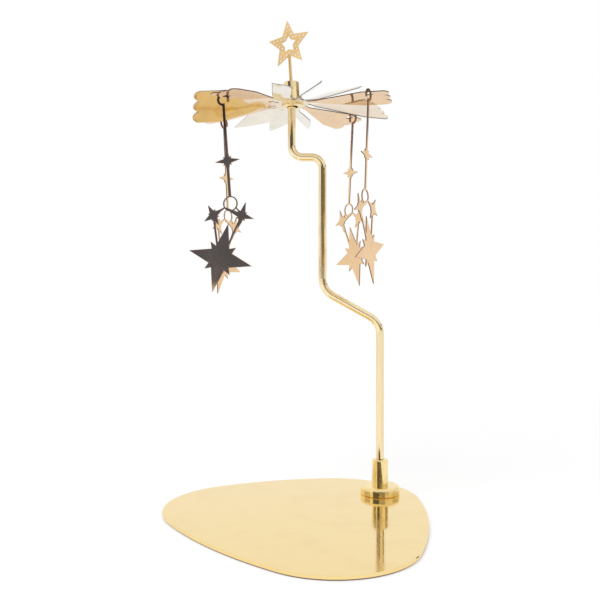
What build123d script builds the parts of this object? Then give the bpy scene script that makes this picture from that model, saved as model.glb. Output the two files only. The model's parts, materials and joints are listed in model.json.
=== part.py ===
"""Candle carousel: a brass plate, a bent rod and a rotor of sheet blades hung with star pendants.

Millimetres, +Z up. The origin is on the underside of the plate, below the rotor's axis.
+X points from the axis to the rod's foot, and +Y to the back.
"""

from build123d import *
from math import acos, atan2, cos, degrees, radians, sin, sqrt
import os

# Base plate: a rounded triangle of three corner arcs joined by three long side arcs
PLATE_THICKNESS = 1.8
PLATE_FRONT_CORNER = (16.9, -68.5)
PLATE_RIGHT_CORNER = (21.9, -10.5)
PLATE_LEFT_CORNER = (-19.1, -22.5)
PLATE_FRONT_RADIUS = 36.5
PLATE_BACK_RADIUS = 40.5
PLATE_SIDE_RADIUS = 186.0
PLATE_BACK_SIDE_RADIUS = 138.0
PLATE_TOP_CHAMFER = 0.3
PLATE_FOOT_CHAMFER = 0.4

# Rod and the path that it is bent to, with heights above the plate's top face
ROD_DIAMETER = 4.0
ROD_FOOT_X = 44.15
ROD_MIDDLE_X = 15.4
ROD_LOWER_BEND_HEIGHT = 85.5
ROD_MIDDLE_BEND_HEIGHT = 101.5
ROD_UPPER_BEND_HEIGHT = 168.0
ROD_LOWER_BEND_RADIUS = 10.0
ROD_UPPER_BEND_RADIUS = 5.5
ROD_END_CHAMFER = 0.4

# Foot collar and the screw that holds it from below
COLLAR_FLANGE_DIAMETER = 19.5
COLLAR_FLANGE_HEIGHT = 4.4
COLLAR_FLANGE_ROUND = 1.6
COLLAR_FOOT_CHAMFER = 0.4
COLLAR_NECK_DIAMETER = 8.0
COLLAR_HEIGHT = 17.2
COLLAR_NECK_CHAMFER = 0.5
COLLAR_SOCKET_DEPTH = 11.0
SOCKET_CLEARANCE = 0.05
SCREW_DIAMETER = 3.0
SCREW_REACH = 4.5
SCREW_HEAD_DIAMETER = 5.6
SCREW_HEAD_HEIGHT = 1.3
SCREW_HOLE_CLEARANCE = 0.2
SCREW_RECESS = 0.2
SCREW_SLOT_WIDTH = 0.8
SCREW_SLOT_DEPTH = 0.6

# Rotor sheet, with its height above the plate's top face and its rest on the needle's point
ROTOR_HEIGHT = 194.6
ROTOR_TILT = 3.5
SHEET_THICKNESS = 0.5
SHEET_DISC_RADIUS = 8.5
ROTOR_TURN = 17.8
WING_SPREAD = 64.0
POINTED_ROW = 3
BLADE_NECK_START = 7.5
BLADE_NECK_END = 12.0
BLADE_NECK_WIDTH = 3.2
NECK_ROOT_THICKNESS = 0.4
BLADE_DROOP = 4.0

# Pointed blades
POINTED_RADIUS = 44.0
POINTED_SHOULDER_RADIUS = 22.0
POINTED_WIDTH = 11.0
POINTED_PITCH = 28.0
POINTED_BULGE = 0.3

# Scalloped wings: hanging wings with a hole for a pendant's hook, and steeper fan wings between them
HANGING_WING_RADIUS = 49.0
HANGING_WING_PITCH = -5.0
FAN_WING_RADIUS = 50.0
FAN_WING_PITCH = 38.0
WING_WIDTH = 18.0
WING_LOBES = 3
HOOK_HOLE_RADIUS = 39.6
HOOK_HOLE_DIAMETER = 3.8
HOOK_WEB = 0.8

# Hub, bearing and needle
HUB_DIAMETER = 8.0
HUB_FLANGE_DIAMETER = 12.5
HUB_FLANGE_THICKNESS = 1.2
HUB_HEIGHT = 10.5
HUB_EDGE_CHAMFER = 0.4
HUB_BORE_DIAMETER = 5.6
SPIGOT_DIAMETER = 7.0
CLAMP_RING_DIAMETER = 11.0
CLAMP_RING_THICKNESS = 1.3
CLAMP_RING_CHAMFER = 0.3
CUP_HEIGHT = 2.5
CUP_COVER = 0.6
CUP_DIMPLE_DEPTH = 1.2
CUP_DIMPLE_DIAMETER = 3.6
NEEDLE_DIAMETER = 1.4
NEEDLE_SEAT = 5.0
NEEDLE_POINT = 1.4
NEEDLE_TIP_DIAMETER = 0.2
NEEDLE_STAND_OUT = 3.6
PIVOT_CLEARANCE = 0.05

# Finial: a wire and a perforated star that is turned about it
FINIAL_WIRE_DIAMETER = 1.6
FINIAL_WIRE_SEAT = 3.0
FINIAL_TURN = -28.0
FINIAL_STAR_CENTRE_RISE = 19.2
FINIAL_STAR_POINTS = 5
FINIAL_STAR_RADIUS = 11.8
FINIAL_STAR_VALLEY = 5.5
FINIAL_STAR_THICKNESS = 0.8
FINIAL_CUTOUT_RADIUS = 4.3
FINIAL_CUTOUT_VALLEY = 2.5
FINIAL_TAB_DEPTH = 1.6
FINIAL_TAB_OVERLAP = 1.0
FINIAL_DOT_DIAMETER = 0.9
FINIAL_TIP_DOT_RADIUS = 8.9
FINIAL_MIDDLE_DOT_RADIUS = 7.0
FINIAL_MIDDLE_DOT_ANGLE = 7.0
FINIAL_ROOT_DOT_RADIUS = 5.3
FINIAL_ROOT_DOT_ANGLE = 18.0
FINIAL_VALLEY_DOT_RADIUS = 4.0

# Star pendant, drawn with its bar upright and its hook's centre at the origin
PENDANT_THICKNESS = 0.6
HOOK_INNER_RADIUS = 1.9
HOOK_WIDTH = 1.1
HOOK_END_ANGLE = -35.0
HOOK_SEAT_GAP = 0.3
BAR_WIDTH = 1.25
BAR_STAR_DROP = 28.7
BAR_STAR_RADIUS = 6.3
BAR_STAR_VALLEY = 1.7
BAR_STAR_SPIKE = 3.0
RING_DROP = 48.7
RING_RADIUS = 3.3
RING_WIDTH = 0.6
RING_LEFT_JOINT_ANGLE = 207.0
RING_RIGHT_JOINT_ANGLE = -37.0
LEFT_STAR_CENTRE = (-8.8, -53.1)
LEFT_STAR_RADIUS = 5.5
LEFT_STAR_TURN = 26.0
RIGHT_STAR_CENTRE = (5.2, -54.7)
RIGHT_STAR_RADIUS = 6.4
RIGHT_STAR_TURN = -22.0
SMALL_STAR_VALLEY = 1.9
SMALL_STAR_SPIKE = 3.0
BIG_STAR_CENTRE = (-7.0, -73.4)
BIG_STAR_RADIUS = 16.3
BIG_STAR_VALLEY = 5.4
BIG_STAR_SPIKE = 9.2
BIG_STAR_TURN = -18.5
LINK_WIDTH = 0.9
LINK_TIP_WIDTH = 0.6
LINK_SINK = 4.6
PENDANT_FACINGS = (35.0, 329.0, 254.0, 149.0)

ROD_RADIUS = ROD_DIAMETER / 2
SHEET_HALF = SHEET_THICKNESS / 2
SHEET_Z = PLATE_THICKNESS + ROTOR_HEIGHT
HUB_BASE_Z = SHEET_Z + SHEET_HALF
HUB_TOP_Z = HUB_BASE_Z + HUB_HEIGHT
CLAMP_RING_TOP_Z = SHEET_Z - SHEET_HALF
HOOK_MIDDLE_RADIUS = HOOK_INNER_RADIUS + HOOK_WIDTH / 2
CUP_BASE_Z = HUB_TOP_Z - FINIAL_WIRE_SEAT - CUP_COVER - CUP_HEIGHT
NEEDLE_TIP_Z = CUP_BASE_Z + CUP_DIMPLE_DEPTH - PIVOT_CLEARANCE
ROD_TOP_Z = NEEDLE_TIP_Z - NEEDLE_STAND_OUT
SOCKET_FLOOR_Z = PLATE_THICKNESS + COLLAR_HEIGHT - COLLAR_SOCKET_DEPTH


def polar(radius, angle, centre=(0, 0)):
    """Point at a radius and an angle in degrees round a centre."""
    return (centre[0] + radius * cos(radians(angle)), centre[1] + radius * sin(radians(angle)))


def turned(profile_points, centre=(0, 0)):
    """Solid of revolution about Z from (radius, height) points, set at (x, y)."""
    profile = make_face(Plane.XZ * Polyline(*profile_points, close=True))
    return Pos(*centre) * revolve(profile, Axis.Z)


def side_arc(start, start_radius, end, end_radius, side_radius):
    """Long arc that touches two corner circles from outside their hull, running anticlockwise."""
    start_reach = side_radius - start_radius
    end_reach = side_radius - end_radius
    run = sqrt((end[0] - start[0]) ** 2 + (end[1] - start[1]) ** 2)
    heading = atan2(end[1] - start[1], end[0] - start[0])
    opening = acos((start_reach**2 + run**2 - end_reach**2) / (2 * start_reach * run))
    centre = polar(start_reach, degrees(heading + opening), start)
    first = atan2(start[1] - centre[1], start[0] - centre[0])
    last = atan2(end[1] - centre[1], end[0] - centre[0])
    angles = [degrees(first), degrees((first + last) / 2), degrees(last)]
    return [polar(side_radius, angle, centre) for angle in angles]


def plate_outline():
    """Closed outline of the plate, anticlockwise from the front corner."""
    corners = [
        (PLATE_FRONT_CORNER, PLATE_FRONT_RADIUS, PLATE_SIDE_RADIUS),
        (PLATE_RIGHT_CORNER, PLATE_BACK_RADIUS, PLATE_BACK_SIDE_RADIUS),
        (PLATE_LEFT_CORNER, PLATE_BACK_RADIUS, PLATE_SIDE_RADIUS),
    ]
    sides = []
    for place, (start, start_radius, side_radius) in enumerate(corners):
        end, end_radius, _ = corners[(place + 1) % len(corners)]
        sides.append(side_arc(start, start_radius, end, end_radius, side_radius))
    edges = []
    for place, side in enumerate(sides):
        end, end_radius, _ = corners[(place + 1) % len(corners)]
        following = sides[(place + 1) % len(sides)]
        middle = ((side[2][0] + following[0][0]) / 2, (side[2][1] + following[0][1]) / 2)
        bearing = atan2(middle[1] - end[1], middle[0] - end[0])
        edges.append(ThreePointArc(*side))
        edges.append(ThreePointArc(side[2], polar(end_radius, degrees(bearing), end), following[0]))
    return make_face(edges)


def base_plate():
    """Flat plate with broken edges and a countersunk hole below the collar."""
    plate = extrude(plate_outline(), PLATE_THICKNESS)
    plate = chamfer(plate.faces().sort_by(Axis.Z)[-1].edges(), PLATE_TOP_CHAMFER)
    plate = chamfer(plate.faces().sort_by(Axis.Z)[0].edges(), PLATE_FOOT_CHAMFER)
    hole_radius = SCREW_DIAMETER / 2 + SCREW_HOLE_CLEARANCE
    mouth_radius = SCREW_HEAD_DIAMETER / 2 + SCREW_HOLE_CLEARANCE
    cone_top = SCREW_RECESS + SCREW_HEAD_HEIGHT
    cutter = turned(
        [
            (0, 0),
            (mouth_radius, 0),
            (mouth_radius, SCREW_RECESS),
            (hole_radius, cone_top),
            (hole_radius, PLATE_THICKNESS),
            (0, PLATE_THICKNESS),
        ],
        (ROD_FOOT_X, 0),
    )
    return plate - cutter


def foot_screw():
    """Countersunk screw with a slot, driven up into the collar."""
    head_radius = SCREW_HEAD_DIAMETER / 2
    shank_radius = SCREW_DIAMETER / 2
    cone_top = SCREW_RECESS + SCREW_HEAD_HEIGHT
    tip = PLATE_THICKNESS + SCREW_REACH
    screw = turned(
        [
            (0, SCREW_RECESS),
            (head_radius, SCREW_RECESS),
            (shank_radius, cone_top),
            (shank_radius, tip),
            (0, tip),
        ],
        (ROD_FOOT_X, 0),
    )
    slot = Box(SCREW_HEAD_DIAMETER, SCREW_SLOT_WIDTH, SCREW_SLOT_DEPTH)
    return screw - Pos(ROD_FOOT_X, 0, SCREW_RECESS + SCREW_SLOT_DEPTH / 2) * slot


def foot_collar():
    """Turned collar: flange on the plate, slim neck with a socket for the rod."""
    base = PLATE_THICKNESS
    flange = Pos(ROD_FOOT_X, 0, base) * extrude(Circle(COLLAR_FLANGE_DIAMETER / 2), COLLAR_FLANGE_HEIGHT)
    flange = fillet(flange.edges().group_by(Axis.Z)[-1], COLLAR_FLANGE_ROUND)
    flange = chamfer(flange.edges().group_by(Axis.Z)[0], COLLAR_FOOT_CHAMFER)
    neck = Pos(ROD_FOOT_X, 0, base) * extrude(Circle(COLLAR_NECK_DIAMETER / 2), COLLAR_HEIGHT)
    neck = chamfer(neck.edges().group_by(Axis.Z)[-1], COLLAR_NECK_CHAMFER)
    socket = extrude(Circle(ROD_RADIUS + SOCKET_CLEARANCE), COLLAR_SOCKET_DEPTH)
    thread = extrude(Circle(SCREW_DIAMETER / 2), SCREW_REACH)
    collar = flange + neck - Pos(ROD_FOOT_X, 0, SOCKET_FLOOR_Z) * socket
    return collar - Pos(ROD_FOOT_X, 0, base) * thread


def stem():
    """Round rod with four bends, drilled at the top for the needle."""
    top = PLATE_THICKNESS
    path = FilletPolyline(
        (ROD_FOOT_X, 0, SOCKET_FLOOR_Z),
        (ROD_FOOT_X, 0, top + ROD_LOWER_BEND_HEIGHT),
        (ROD_MIDDLE_X, 0, top + ROD_MIDDLE_BEND_HEIGHT),
        (ROD_MIDDLE_X, 0, top + ROD_UPPER_BEND_HEIGHT),
        (0, 0, top + ROD_UPPER_BEND_HEIGHT),
        (0, 0, ROD_TOP_Z),
        radius=[
            ROD_LOWER_BEND_RADIUS,
            ROD_LOWER_BEND_RADIUS,
            ROD_UPPER_BEND_RADIUS,
            ROD_UPPER_BEND_RADIUS,
        ],
    )
    rod = sweep(Plane(path @ 0, z_dir=path % 0) * Circle(ROD_RADIUS), path)
    rod = chamfer(rod.edges().filter_by(GeomType.CIRCLE).group_by(Axis.Z)[-1], ROD_END_CHAMFER)
    seat = extrude(Circle(NEEDLE_DIAMETER / 2), NEEDLE_SEAT)
    return rod - Pos(0, 0, ROD_TOP_Z - NEEDLE_SEAT) * seat


def pivot_needle():
    """Hard needle standing in the end of the rod."""
    radius = NEEDLE_DIAMETER / 2
    return turned(
        [
            (0, ROD_TOP_Z - NEEDLE_SEAT),
            (radius, ROD_TOP_Z - NEEDLE_SEAT),
            (radius, NEEDLE_TIP_Z - NEEDLE_POINT),
            (NEEDLE_TIP_DIAMETER / 2, NEEDLE_TIP_Z),
            (0, NEEDLE_TIP_Z),
        ]
    )


def rotor_rest():
    """Placement of the rotor: balanced on the needle's point, with the side over the foot raised."""
    return Pos(0, 0, NEEDLE_TIP_Z) * Rot(0, -ROTOR_TILT, 0) * Pos(0, 0, -NEEDLE_TIP_Z)


def rotor_hub():
    """Turned hub: spigot through the sheet, thin flange on it, barrel with a bore from below."""
    spigot_z = CLAMP_RING_TOP_Z - CLAMP_RING_THICKNESS
    flange_top = HUB_BASE_Z + HUB_FLANGE_THICKNESS
    hub = turned(
        [
            (0, spigot_z),
            (SPIGOT_DIAMETER / 2, spigot_z),
            (SPIGOT_DIAMETER / 2, HUB_BASE_Z),
            (HUB_FLANGE_DIAMETER / 2, HUB_BASE_Z),
            (HUB_FLANGE_DIAMETER / 2, flange_top),
            (HUB_DIAMETER / 2, flange_top),
            (HUB_DIAMETER / 2, HUB_TOP_Z - HUB_EDGE_CHAMFER),
            (HUB_DIAMETER / 2 - HUB_EDGE_CHAMFER, HUB_TOP_Z),
            (0, HUB_TOP_Z),
        ]
    )
    bore = extrude(Circle(HUB_BORE_DIAMETER / 2), CUP_BASE_Z + CUP_HEIGHT - spigot_z)
    wire_seat = extrude(Circle(FINIAL_WIRE_DIAMETER / 2), FINIAL_WIRE_SEAT)
    hub -= Pos(0, 0, spigot_z) * bore
    hub -= Pos(0, 0, HUB_TOP_Z - FINIAL_WIRE_SEAT) * wire_seat
    return rotor_rest() * hub


def bearing_cup():
    """Dimpled cup at the end of the hub's bore, turning on the needle's point."""
    cup = extrude(Circle(HUB_BORE_DIAMETER / 2), CUP_HEIGHT)
    dimple = Cone(
        CUP_DIMPLE_DIAMETER / 2,
        NEEDLE_TIP_DIAMETER / 2,
        CUP_DIMPLE_DEPTH,
        align=(Align.CENTER, Align.CENTER, Align.MIN),
    )
    return rotor_rest() * Pos(0, 0, CUP_BASE_Z) * (cup - dimple)


def rotor_clamp_ring():
    """Ring pressed on the spigot below the sheet."""
    ring = extrude(Circle(CLAMP_RING_DIAMETER / 2) - Circle(SPIGOT_DIAMETER / 2), CLAMP_RING_THICKNESS)
    bottom_rims = ring.faces().sort_by(Axis.Z)[0].edges().sort_by(SortBy.LENGTH)
    ring = chamfer(bottom_rims[-1], CLAMP_RING_CHAMFER)
    return rotor_rest() * Pos(0, 0, CLAMP_RING_TOP_Z - CLAMP_RING_THICKNESS) * ring


def pointed_outline():
    """Pointed blade from the end of its neck to its tip, along +X."""
    root = (BLADE_NECK_END, BLADE_NECK_WIDTH / 2)
    shoulder = (POINTED_SHOULDER_RADIUS, POINTED_WIDTH / 2)
    tip = (POINTED_RADIUS, 0)
    upper = [root, shoulder, tip]
    lower = [(x, -y) for x, y in reversed(upper)]
    edges = []
    for start, end in zip(upper[:-1], upper[1:]):
        edges.append(SagittaArc(start, end, POINTED_BULGE))
    for start, end in zip(lower[:-1], lower[1:]):
        edges.append(SagittaArc(start, end, POINTED_BULGE))
    edges.append(Line(lower[-1], root))
    return make_face(edges)


def wing_outline(radius):
    """Flared wing along +X with a scalloped end."""
    lobe_radius = WING_WIDTH / WING_LOBES / 2
    square_end = radius - lobe_radius
    half = WING_WIDTH / 2
    flare_end = HOOK_HOLE_RADIUS - HOOK_HOLE_DIAMETER
    wing = make_face(
        Polyline(
            (BLADE_NECK_END, BLADE_NECK_WIDTH / 2),
            (BLADE_NECK_END, -BLADE_NECK_WIDTH / 2),
            (flare_end, -half),
            (square_end, -half),
            (square_end, half),
            (flare_end, half),
            close=True,
        )
    )
    for lobe in range(WING_LOBES):
        across = -half + lobe_radius * (2 * lobe + 1)
        wing += Pos(square_end, across) * Circle(lobe_radius)
    return wing


def hanging_wing_outline():
    """Wing with a hook hole beside its clockwise edge."""
    hole_radius = HOOK_HOLE_DIAMETER / 2
    hole_offset = -WING_WIDTH / 2 + HOOK_WEB + hole_radius
    return wing_outline(HANGING_WING_RADIUS) - Pos(HOOK_HOLE_RADIUS, hole_offset) * Circle(hole_radius)


def drooped(pitch):
    """Placement of a blade along +X: turned to its pitch, then bent down at the root of its neck."""
    root = Pos(BLADE_NECK_START, 0, 0)
    return root * Rot(0, BLADE_DROOP, 0) * root.inverse() * Rot(pitch, 0, 0)


def blade(outline, pitch):
    """One blade along +X: a neck twisted out of the flat disc, then the outline at its pitch."""
    root = Rectangle(BLADE_NECK_WIDTH, NECK_ROOT_THICKNESS)
    section = Rectangle(BLADE_NECK_WIDTH, SHEET_THICKNESS)
    start = Plane((BLADE_NECK_START, 0, 0), x_dir=(0, 1, 0), z_dir=(1, 0, 0)) * root
    end = Plane((BLADE_NECK_END, 0, 0), x_dir=(0, 1, 0), z_dir=(1, 0, 0)) * section
    neck = loft([drooped(pitch).inverse() * start, end], ruled=True)
    return drooped(pitch) * (neck + extrude(outline, SHEET_HALF, both=True))


def hanging_wing_angles():
    """Bearings of the hanging wings: two pairs, opposite each other."""
    half = WING_SPREAD / 2
    return [ROTOR_TURN + offset for offset in (half, 180 - half, 180 + half, -half)]


def fan_wing_angles():
    """Bearings of the fan wings: one inside each pair of hanging wings."""
    return [ROTOR_TURN, ROTOR_TURN + 180]


def pointed_angles():
    """Bearings of the pointed blades: a row between the pairs of hanging wings, on both sides."""
    step = (180 - WING_SPREAD) / (POINTED_ROW + 1)
    angles = []
    for pair_turn in fan_wing_angles():
        for place in range(1, POINTED_ROW + 1):
            angles.append(pair_turn + WING_SPREAD / 2 + step * place)
    return angles


def rotor_blades():
    """One sheet: a disc with a hole for the spigot and a ring of pointed blades and wings."""
    sheet = extrude(Circle(SHEET_DISC_RADIUS) - Circle(SPIGOT_DIAMETER / 2), SHEET_HALF, both=True)
    kinds = [
        (blade(pointed_outline(), POINTED_PITCH), pointed_angles()),
        (blade(hanging_wing_outline(), HANGING_WING_PITCH), hanging_wing_angles()),
        (blade(wing_outline(FAN_WING_RADIUS), FAN_WING_PITCH), fan_wing_angles()),
    ]
    for shape, angles in kinds:
        for angle in angles:
            sheet += Rot(0, 0, angle) * shape
    return rotor_rest() * Pos(0, 0, SHEET_Z) * sheet


def finial_frame():
    """Plane of the finial star on the hub's axis, turned from the front."""
    across = polar(1, FINIAL_TURN)
    facing = polar(1, FINIAL_TURN - 90)
    centre = (0, 0, HUB_TOP_Z + FINIAL_STAR_CENTRE_RISE)
    return Plane(centre, x_dir=(across[0], across[1], 0), z_dir=(facing[0], facing[1], 0))


def finial_wire():
    """Wire standing in the hub, slotted at its top for the star's tab."""
    length = FINIAL_WIRE_SEAT + FINIAL_STAR_CENTRE_RISE - FINIAL_STAR_VALLEY
    wire = Pos(0, 0, HUB_TOP_Z - FINIAL_WIRE_SEAT) * extrude(Circle(FINIAL_WIRE_DIAMETER / 2), length)
    slot = Box(2 * FINIAL_WIRE_DIAMETER, FINIAL_TAB_DEPTH, FINIAL_STAR_THICKNESS)
    wire -= finial_frame() * Pos(0, -FINIAL_STAR_VALLEY - FINIAL_TAB_DEPTH / 2, 0) * slot
    return rotor_rest() * wire


def star_outline(points, radius, valley, turn=90.0):
    """Plain star with its first point at the turn angle."""
    step = 180 / points
    corners = []
    for place in range(2 * points):
        reach = radius if place % 2 == 0 else valley
        corners.append(polar(reach, turn + step * place))
    return make_face(Polyline(*corners, close=True))


def finial_star():
    """Flat five-point star with a star cut-out, perforated points and a tab for the wire."""
    star = star_outline(FINIAL_STAR_POINTS, FINIAL_STAR_RADIUS, FINIAL_STAR_VALLEY)
    star -= star_outline(FINIAL_STAR_POINTS, FINIAL_CUTOUT_RADIUS, FINIAL_CUTOUT_VALLEY)
    dots = [(FINIAL_TIP_DOT_RADIUS, 0), (FINIAL_VALLEY_DOT_RADIUS, 180 / FINIAL_STAR_POINTS)]
    for side in (-1, 1):
        dots.append((FINIAL_MIDDLE_DOT_RADIUS, side * FINIAL_MIDDLE_DOT_ANGLE))
        dots.append((FINIAL_ROOT_DOT_RADIUS, side * FINIAL_ROOT_DOT_ANGLE))
    for place in range(FINIAL_STAR_POINTS):
        bearing = 90 + 360 / FINIAL_STAR_POINTS * place
        for reach, offset in dots:
            star -= Pos(*polar(reach, bearing + offset)) * Circle(FINIAL_DOT_DIAMETER / 2)
    tab_height = FINIAL_TAB_DEPTH + FINIAL_TAB_OVERLAP
    tab = Rectangle(FINIAL_WIRE_DIAMETER, tab_height)
    star += Pos(0, -FINIAL_STAR_VALLEY - FINIAL_TAB_DEPTH + tab_height / 2) * tab
    return rotor_rest() * (finial_frame() * extrude(star, FINIAL_STAR_THICKNESS / 2, both=True))


def spiked_star(centre, radius, valley, spike, turn):
    """Four long rays with four short spikes between them."""
    star = star_outline(4, radius, valley, turn)
    star += star_outline(4, spike, valley * cos(radians(45)), turn + 45)
    return Pos(*centre) * star


def strip(start, end, start_width, end_width):
    """Straight strip that tapers from one width to another."""
    heading = degrees(atan2(end[1] - start[1], end[0] - start[0]))
    sides = [
        polar(start_width / 2, heading + 90, start),
        polar(start_width / 2, heading - 90, start),
        polar(end_width / 2, heading - 90, end),
        polar(end_width / 2, heading + 90, end),
    ]
    return make_face(Polyline(*sides, close=True))


def pendant_outline():
    """Hook, bar, ring and stars of a pendant as one flat shape."""
    ring_centre = (0, -RING_DROP)
    ring = Circle(RING_RADIUS + RING_WIDTH / 2) - Circle(RING_RADIUS - RING_WIDTH / 2)
    gap = make_face(
        Polyline(
            (0, 0),
            polar(2 * HOOK_MIDDLE_RADIUS, HOOK_END_ANGLE),
            (BAR_WIDTH / 2, -2 * HOOK_MIDDLE_RADIUS),
            (BAR_WIDTH / 2, -HOOK_INNER_RADIUS / 2),
            close=True,
        )
    )
    hook = Circle(HOOK_INNER_RADIUS + HOOK_WIDTH) - Circle(HOOK_INNER_RADIUS) - gap
    left_joint = polar(RING_RADIUS, RING_LEFT_JOINT_ANGLE, ring_centre)
    right_joint = polar(RING_RADIUS, RING_RIGHT_JOINT_ANGLE, ring_centre)
    bar = strip((0, -HOOK_MIDDLE_RADIUS), (0, RING_RADIUS - RING_DROP), BAR_WIDTH, BAR_WIDTH)
    bar_star = spiked_star((0, -BAR_STAR_DROP), BAR_STAR_RADIUS, BAR_STAR_VALLEY, BAR_STAR_SPIKE, 0)
    left_star = spiked_star(
        LEFT_STAR_CENTRE, LEFT_STAR_RADIUS, SMALL_STAR_VALLEY, SMALL_STAR_SPIKE, LEFT_STAR_TURN
    )
    right_star = spiked_star(
        RIGHT_STAR_CENTRE, RIGHT_STAR_RADIUS, SMALL_STAR_VALLEY, SMALL_STAR_SPIKE, RIGHT_STAR_TURN
    )
    big_star = spiked_star(
        BIG_STAR_CENTRE, BIG_STAR_RADIUS, BIG_STAR_VALLEY, BIG_STAR_SPIKE, BIG_STAR_TURN
    )
    left_foot = polar(LINK_SINK, BIG_STAR_TURN + 120, BIG_STAR_CENTRE)
    right_foot = polar(LINK_SINK, BIG_STAR_TURN + 65, BIG_STAR_CENTRE)
    links = [
        strip(LEFT_STAR_CENTRE, left_joint, SMALL_STAR_VALLEY, LINK_TIP_WIDTH),
        strip(RIGHT_STAR_CENTRE, left_joint, SMALL_STAR_VALLEY, LINK_TIP_WIDTH),
        strip(RIGHT_STAR_CENTRE, right_joint, LINK_WIDTH, LINK_TIP_WIDTH),
        strip(LEFT_STAR_CENTRE, left_foot, LINK_WIDTH, LINK_WIDTH),
        strip(RIGHT_STAR_CENTRE, right_foot, LINK_WIDTH, LINK_WIDTH),
    ]
    shape = hook + bar + bar_star + Pos(*ring_centre) * ring + left_star + right_star + big_star
    for link in links:
        shape += link
    return shape


def star_pendant(wing_angle, facing):
    """Pendant hanging plumb from the clockwise edge of the wing at a bearing."""
    flat = extrude(pendant_outline(), PENDANT_THICKNESS / 2, both=True)
    balance = flat.center(CenterOf.MASS)
    plumb = Rot(0, 0, -degrees(atan2(balance.X, -balance.Y)))
    web_middle = (HOOK_HOLE_RADIUS, (HOOK_WEB - WING_WIDTH) / 2, SHEET_HALF)
    wing = rotor_rest() * Pos(0, 0, SHEET_Z) * Rot(0, 0, wing_angle) * drooped(HANGING_WING_PITCH)
    web_top = (wing * Pos(*web_middle)).position
    centre = web_top + Vector(0, 0, HOOK_SEAT_GAP - HOOK_INNER_RADIUS)
    ahead = polar(1, facing)
    right = polar(1, facing + 90)
    frame = Plane(centre, x_dir=(right[0], right[1], 0), z_dir=(ahead[0], ahead[1], 0))
    print("hook centre", tuple(centre))
    return frame * plumb * flat


def main():
    """Build each piece and write it to parts."""
    pieces = {
        "base_plate": base_plate(),
        "foot_screw": foot_screw(),
        "foot_collar": foot_collar(),
        "stem": stem(),
        "pivot_needle": pivot_needle(),
        "rotor_hub": rotor_hub(),
        "bearing_cup": bearing_cup(),
        "rotor_clamp_ring": rotor_clamp_ring(),
        "rotor_blades": rotor_blades(),
        "finial_wire": finial_wire(),
        "finial_star": finial_star(),
    }
    for number, (angle, facing) in enumerate(zip(hanging_wing_angles(), PENDANT_FACINGS), start=1):
        pieces[f"star_pendant_{number}"] = star_pendant(angle, facing)
    os.makedirs("parts", exist_ok=True)
    for name, piece in pieces.items():
        export_step(piece, f"parts/{name}.step")
        print(name, len(piece.solids()), round(piece.volume, 1))


main()
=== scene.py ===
"""Star carousel for a candle: finishes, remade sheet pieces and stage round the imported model."""

import json
from math import cos, pi, radians, sin

import bpy
import bmesh
from mathutils import Matrix, Vector


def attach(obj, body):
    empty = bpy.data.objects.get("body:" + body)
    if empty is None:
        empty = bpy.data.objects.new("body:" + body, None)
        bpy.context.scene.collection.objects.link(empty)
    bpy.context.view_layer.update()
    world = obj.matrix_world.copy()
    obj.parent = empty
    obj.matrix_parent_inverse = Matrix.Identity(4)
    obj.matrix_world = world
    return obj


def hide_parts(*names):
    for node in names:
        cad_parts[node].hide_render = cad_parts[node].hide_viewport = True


bl_info = {
    "name": "Star carousel",
    "version": (1, 1, 0),
    "blender": (4, 5, 0),
    "location": "View3D > Sidebar > Carousel",
    "description": "Dresses a brass candle carousel with its finishes, rotor, pendants and stage",
    "category": "Object",
}

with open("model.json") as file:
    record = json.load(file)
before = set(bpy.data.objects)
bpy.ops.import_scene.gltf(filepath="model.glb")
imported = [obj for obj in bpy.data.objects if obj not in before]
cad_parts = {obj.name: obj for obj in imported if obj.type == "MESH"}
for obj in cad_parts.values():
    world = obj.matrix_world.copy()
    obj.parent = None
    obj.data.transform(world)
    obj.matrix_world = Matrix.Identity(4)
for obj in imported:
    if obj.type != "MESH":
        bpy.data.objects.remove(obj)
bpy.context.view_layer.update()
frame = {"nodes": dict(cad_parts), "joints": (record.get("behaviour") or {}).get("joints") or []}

MM = 0.001
JOINTS = {joint["name"]: joint for joint in frame["joints"]}
FOOT_AXIS = JOINTS["stem_swivel"]["pos_m"]
PIVOT = JOINTS["rotor_spin"]["pos_m"]
PENDANTS = {name: name.replace("star_pendant", "pendant") for name in sorted(frame["nodes"])
            if name.startswith("star_pendant")}


# Settings

def colour(name, description, default):
    """A colour setting."""
    return bpy.props.FloatVectorProperty(name=name, description=description, subtype="COLOR",
                                         size=3, min=0, max=1, default=default)


def length(name, description, millimetres):
    """A length setting, given in millimetres and kept in metres."""
    return bpy.props.FloatProperty(name=name, description=description, subtype="DISTANCE",
                                   unit="LENGTH", min=0, default=millimetres * MM)


def angle(name, description, degrees):
    """An angle setting, given in degrees and kept in radians."""
    return bpy.props.FloatProperty(name=name, description=description, subtype="ANGLE",
                                   unit="ROTATION", default=radians(degrees))


def point(name, description, default):
    """A place setting in metres."""
    return bpy.props.FloatVectorProperty(name=name, description=description, subtype="TRANSLATION",
                                         unit="LENGTH", size=3, default=default)


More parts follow.
